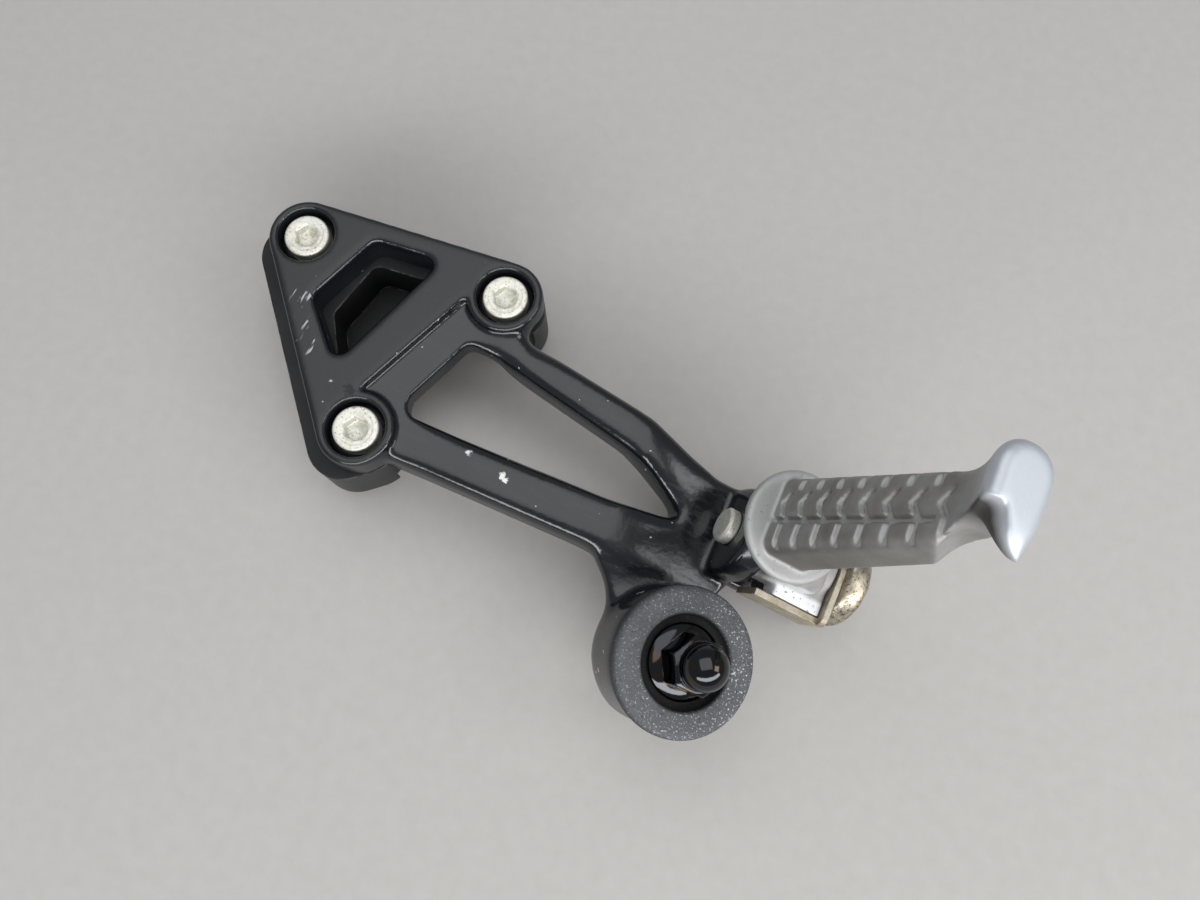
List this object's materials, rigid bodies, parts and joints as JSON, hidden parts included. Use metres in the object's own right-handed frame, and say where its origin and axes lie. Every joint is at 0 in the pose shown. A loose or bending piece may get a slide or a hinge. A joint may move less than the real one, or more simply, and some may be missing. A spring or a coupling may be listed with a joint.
{
  "type": "motorcycle passenger footpeg bracket",
  "caption": "Cast motorcycle passenger footpeg bracket with screw-on plate, open arms, rubber-bushed exhaust hanger and a folding cast peg with chevron tread held by a sprung detent.",
  "frame": {"origin": "on the axis of the apex frame screw, at the spacer's rear face, which meets the motorcycle frame", "axes": "+X along the bracket's arms towards the peg, +Y the way the peg folds, +Z out of the plate's face"},
  "size_m": [0.2037, 0.1048, 0.1269],
  "materials": {
    "bracket_paint": "worn gloss black paint",
    "spacer_paint": "satin black paint",
    "zinc": "zinc plate with a yellow tinge",
    "cast_aluminium": "bare dull casting, bright at the tip",
    "pin_steel": "dark plated steel",
    "ball_steel": "polished bearing steel",
    "rubber": "dusty black rubber",
    "nut_paint": "gloss black"
  },
  "bodies": {
    "bracket": {"bracket": "bracket_paint", "rear_spacer": "spacer_paint", "mounting_screws": "zinc", "pivot_pin": "pin_steel", "pin_washer": "zinc", "pin_clip": "pin_steel", "detent_plate": "zinc", "hanger_damper": "rubber", "hanger_collar": "zinc", "hanger_washer": "zinc", "hanger_bolt": "zinc", "hanger_nut": "nut_paint"},
    "peg": {"footpeg": "cast_aluminium", "detent_ball": "ball_steel", "detent_spring": "pin_steel"}
  },
  "joints": [
    {"name": "peg_fold", "type": "hinge", "parent": "bracket", "child": "peg", "pos_m": [0.1548, -0.0297, 0.0173], "axis": [-0.9397, 0, 0.342], "range_deg": [0, 80]}
  ]
}
